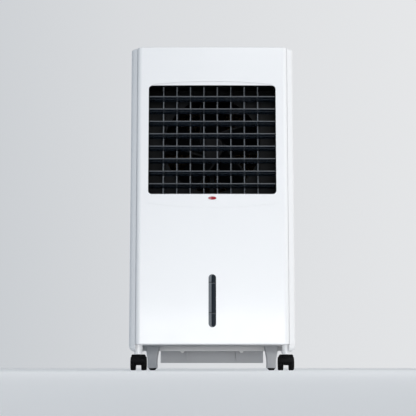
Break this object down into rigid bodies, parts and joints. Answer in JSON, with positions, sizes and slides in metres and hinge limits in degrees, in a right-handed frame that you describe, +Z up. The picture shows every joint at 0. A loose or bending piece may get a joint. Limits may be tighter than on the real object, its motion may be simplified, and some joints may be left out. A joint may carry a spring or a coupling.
{
  "type": "evaporative cooler",
  "caption": "Upright cabinet air cooler: front outlet with tilting louvres and swinging vanes, slide-out rear water tank, pull-off intake grille, front casters and rear feet.",
  "frame": {"origin": "on the floor, under the centre of the bounding box", "axes": "+X right seen from the front, +Y towards the back, +Z up"},
  "size_m": [0.397, 0.33, 0.782],
  "materials": {
    "white_shell": "moulded ABS, satin gloss",
    "base_grey": "moulded, light grey, matt",
    "black_plastic": "moulded, fine texture",
    "louvre_black": "satin black blades",
    "smoked_lens": "smoked clear plastic",
    "badge_red": "glossy enamel-like badge without any mark",
    "tank_blue": "milky translucent moulding",
    "pad_brown": "resin-treated corrugated cellulose",
    "motor_steel": "pressed steel can",
    "steel": "turned steel",
    "rubber_black": "soft black rubber",
    "hose_clear": "soft silicone-like tube",
    "board_green": "glass-fibre circuit board",
    "fascia_dark": "glossy dark control plate",
    "button_white": "moulded key caps",
    "filter_dark": "woven screen in a plastic frame",
    "caster_black": "nylon"
  },
  "bodies": {
    "cabinet": {"front_panel": "white_shell", "badge": "badge_red", "level_window": "smoked_lens", "outlet_frame": "black_plastic", "swing_motor": "motor_steel", "left_side_panel": "white_shell", "right_side_panel": "white_shell", "top_cover": "white_shell", "control_fascia": "fascia_dark", "control_board": "board_green", "fan_bulkhead": "black_plastic", "fan_motor": "motor_steel", "deck_plate": "base_grey", "pad_frame": "base_grey", "cooling_pad": "pad_brown", "distributor_tray": "base_grey", "pump": "black_plastic", "water_hose": "hose_clear", "cord_inlet": "rubber_black", "base_pan": "white_shell", "screws": "steel", "caster_stems": "steel", "left_leg": "base_grey", "right_leg": "base_grey", "foot_pads": "rubber_black", "rear_crossbar": "base_grey"},
    "louvre_1": {"louvre_1": "louvre_black"},
    "louvre_2": {"louvre_2": "louvre_black"},
    "louvre_3": {"louvre_3": "louvre_black"},
    "louvre_4": {"louvre_4": "louvre_black"},
    "louvre_5": {"louvre_5": "louvre_black"},
    "louvre_6": {"louvre_6": "louvre_black"},
    "louvre_7": {"louvre_7": "louvre_black"},
    "louvre_8": {"louvre_8": "louvre_black"},
    "louvre_link": {"louvre_link": "black_plastic"},
    "vane_1": {"vane_1": "louvre_black"},
    "vane_2": {"vane_2": "louvre_black"},
    "vane_3": {"vane_3": "louvre_black"},
    "vane_4": {"vane_4": "louvre_black"},
    "vane_5": {"vane_5": "louvre_black"},
    "vane_6": {"vane_6": "louvre_black"},
    "vane_7": {"vane_7": "louvre_black"},
    "vane_8": {"vane_8": "louvre_black"},
    "vane_link": {"vane_link": "black_plastic"},
    "fan": {"fan_impeller": "black_plastic", "fan_shaft": "steel"},
    "caster_left": {"caster_hood_left": "caster_black", "caster_axle_left": "steel"},
    "caster_wheels_left": {"caster_wheels_left": "caster_black"},
    "caster_right": {"caster_hood_right": "caster_black", "caster_axle_right": "steel"},
    "caster_wheels_right": {"caster_wheels_right": "caster_black"},
    "button_1": {"button_1": "button_white"},
    "button_2": {"button_2": "button_white"},
    "button_3": {"button_3": "button_white"},
    "button_4": {"button_4": "button_white"},
    "tank": {"water_tank": "tank_blue"},
    "drain_plug": {"drain_plug": "rubber_black"},
    "rear_grille": {"rear_grille": "white_shell", "dust_filter": "filter_dark"}
  },
  "joints": [
    {"name": "louvre_1_tilt", "type": "hinge", "parent": "cabinet", "child": "louvre_1", "pos_m": [0, -0.1413, 0.6567], "axis": [1, 0, 0], "range_deg": [-10, 42]},
    {"name": "louvre_2_tilt", "type": "hinge", "parent": "cabinet", "child": "louvre_2", "pos_m": [0, -0.1413, 0.626], "axis": [1, 0, 0], "range_deg": [-10, 42]},
    {"name": "louvre_3_tilt", "type": "hinge", "parent": "cabinet", "child": "louvre_3", "pos_m": [0, -0.1413, 0.5953], "axis": [1, 0, 0], "range_deg": [-10, 42]},
    {"name": "louvre_4_tilt", "type": "hinge", "parent": "cabinet", "child": "louvre_4", "pos_m": [0, -0.1413, 0.5646], "axis": [1, 0, 0], "range_deg": [-10, 42]},
    {"name": "louvre_5_tilt", "type": "hinge", "parent": "cabinet", "child": "louvre_5", "pos_m": [0, -0.1413, 0.5339], "axis": [1, 0, 0], "range_deg": [-10, 42]},
    {"name": "louvre_6_tilt", "type": "hinge", "parent": "cabinet", "child": "louvre_6", "pos_m": [0, -0.1413, 0.5032], "axis": [1, 0, 0], "range_deg": [-10, 42]},
    {"name": "louvre_7_tilt", "type": "hinge", "parent": "cabinet", "child": "louvre_7", "pos_m": [0, -0.1413, 0.4725], "axis": [1, 0, 0], "range_deg": [-10, 42]},
    {"name": "louvre_8_tilt", "type": "hinge", "parent": "cabinet", "child": "louvre_8", "pos_m": [0, -0.1413, 0.4418], "axis": [1, 0, 0], "range_deg": [-10, 42]},
    {"name": "louvre_link_pivot", "type": "hinge", "parent": "louvre_1", "child": "louvre_link", "pos_m": [0.156, -0.13363, 0.65443], "axis": [1, 0, 0], "range_deg": [-42, 10]},
    {"name": "vane_1_swing", "type": "hinge", "parent": "cabinet", "child": "vane_1", "pos_m": [-0.117, -0.1098, 0.5523], "axis": [0, 0, 1], "range_deg": [-26, 44]},
    {"name": "vane_2_swing", "type": "hinge", "parent": "cabinet", "child": "vane_2", "pos_m": [-0.084, -0.1098, 0.5523], "axis": [0, 0, 1], "range_deg": [-26, 44]},
    {"name": "vane_3_swing", "type": "hinge", "parent": "cabinet", "child": "vane_3", "pos_m": [-0.051, -0.1098, 0.5523], "axis": [0, 0, 1], "range_deg": [-26, 44]},
    {"name": "vane_4_swing", "type": "hinge", "parent": "cabinet", "child": "vane_4", "pos_m": [-0.018, -0.1098, 0.5523], "axis": [0, 0, 1], "range_deg": [-26, 44]},
    {"name": "vane_5_swing", "type": "hinge", "parent": "cabinet", "child": "vane_5", "pos_m": [0.015, -0.1098, 0.5523], "axis": [0, 0, 1], "range_deg": [-26, 44]},
    {"name": "vane_6_swing", "type": "hinge", "parent": "cabinet", "child": "vane_6", "pos_m": [0.048, -0.1098, 0.5523], "axis": [0, 0, 1], "range_deg": [-26, 44]},
    {"name": "vane_7_swing", "type": "hinge", "parent": "cabinet", "child": "vane_7", "pos_m": [0.081, -0.1098, 0.5523], "axis": [0, 0, 1], "range_deg": [-26, 44]},
    {"name": "vane_8_swing", "type": "hinge", "parent": "cabinet", "child": "vane_8", "pos_m": [0.114, -0.1098, 0.5523], "axis": [0, 0, 1], "range_deg": [-26, 44]},
    {"name": "vane_link_pivot", "type": "hinge", "parent": "vane_1", "child": "vane_link", "pos_m": [-0.11575, -0.1019, 0.411], "axis": [0, 0, 1], "range_deg": [-44, 26]},
    {"name": "fan_spin", "type": "hinge", "parent": "cabinet", "child": "fan", "pos_m": [0, -0.04, 0.5523], "axis": [0, 1, 0], "continuous": true},
    {"name": "caster_left_swivel", "type": "hinge", "parent": "cabinet", "child": "caster_left", "pos_m": [-0.176, -0.125, 0.0375], "axis": [0, 0, 1], "continuous": true},
    {"name": "caster_left_roll", "type": "hinge", "parent": "caster_left", "child": "caster_wheels_left", "pos_m": [-0.176, -0.113, 0.0165], "axis": [1, 0, 0], "continuous": true},
    {"name": "caster_right_swivel", "type": "hinge", "parent": "cabinet", "child": "caster_right", "pos_m": [0.176, -0.125, 0.0375], "axis": [0, 0, 1], "continuous": true},
    {"name": "caster_right_roll", "type": "hinge", "parent": "caster_right", "child": "caster_wheels_right", "pos_m": [0.176, -0.113, 0.0165], "axis": [1, 0, 0], "continuous": true},
    {"name": "button_1_press", "type": "slide", "parent": "cabinet", "child": "button_1", "axis": [0, 0, -1], "range_m": [0, 0.001], "stiffness_N_per_m": 300},
    {"name": "button_2_press", "type": "slide", "parent": "cabinet", "child": "button_2", "axis": [0, 0, -1], "range_m": [0, 0.001], "stiffness_N_per_m": 300},
    {"name": "button_3_press", "type": "slide", "parent": "cabinet", "child": "button_3", "axis": [0, 0, -1], "range_m": [0, 0.001], "stiffness_N_per_m": 300},
    {"name": "button_4_press", "type": "slide", "parent": "cabinet", "child": "button_4", "axis": [0, 0, -1], "range_m": [0, 0.001], "stiffness_N_per_m": 300},
    {"name": "tank_slide", "type": "slide", "parent": "cabinet", "child": "tank", "axis": [0, 1, 0], "range_m": [0, 0.17]},
    {"name": "drain_plug_pull", "type": "slide", "parent": "tank", "child": "drain_plug", "axis": [0, 1, 0], "range_m": [0, 0.02]},
    {"name": "grille_pull", "type": "slide", "parent": "cabinet", "child": "rear_grille", "axis": [0, 1, 0], "range_m": [0, 0.05]}
  ],
  "couplings": [
    {"joint": "louvre_2_tilt", "follows": "louvre_1_tilt", "ratio": 1},
    {"joint": "louvre_3_tilt", "follows": "louvre_1_tilt", "ratio": 1},
    {"joint": "louvre_4_tilt", "follows": "louvre_1_tilt", "ratio": 1},
    {"joint": "louvre_5_tilt", "follows": "louvre_1_tilt", "ratio": 1},
    {"joint": "louvre_6_tilt", "follows": "louvre_1_tilt", "ratio": 1},
    {"joint": "louvre_7_tilt", "follows": "louvre_1_tilt", "ratio": 1},
    {"joint": "louvre_8_tilt", "follows": "louvre_1_tilt", "ratio": 1},
    {"joint": "louvre_link_pivot", "follows": "louvre_1_tilt", "ratio": -1},
    {"joint": "vane_2_swing", "follows": "vane_1_swing", "ratio": 1},
    {"joint": "vane_3_swing", "follows": "vane_1_swing", "ratio": 1},
    {"joint": "vane_4_swing", "follows": "vane_1_swing", "ratio": 1},
    {"joint": "vane_5_swing", "follows": "vane_1_swing", "ratio": 1},
    {"joint": "vane_6_swing", "follows": "vane_1_swing", "ratio": 1},
    {"joint": "vane_7_swing", "follows": "vane_1_swing", "ratio": 1},
    {"joint": "vane_8_swing", "follows": "vane_1_swing", "ratio": 1},
    {"joint": "vane_link_pivot", "follows": "vane_1_swing", "ratio": -1}
  ]
}
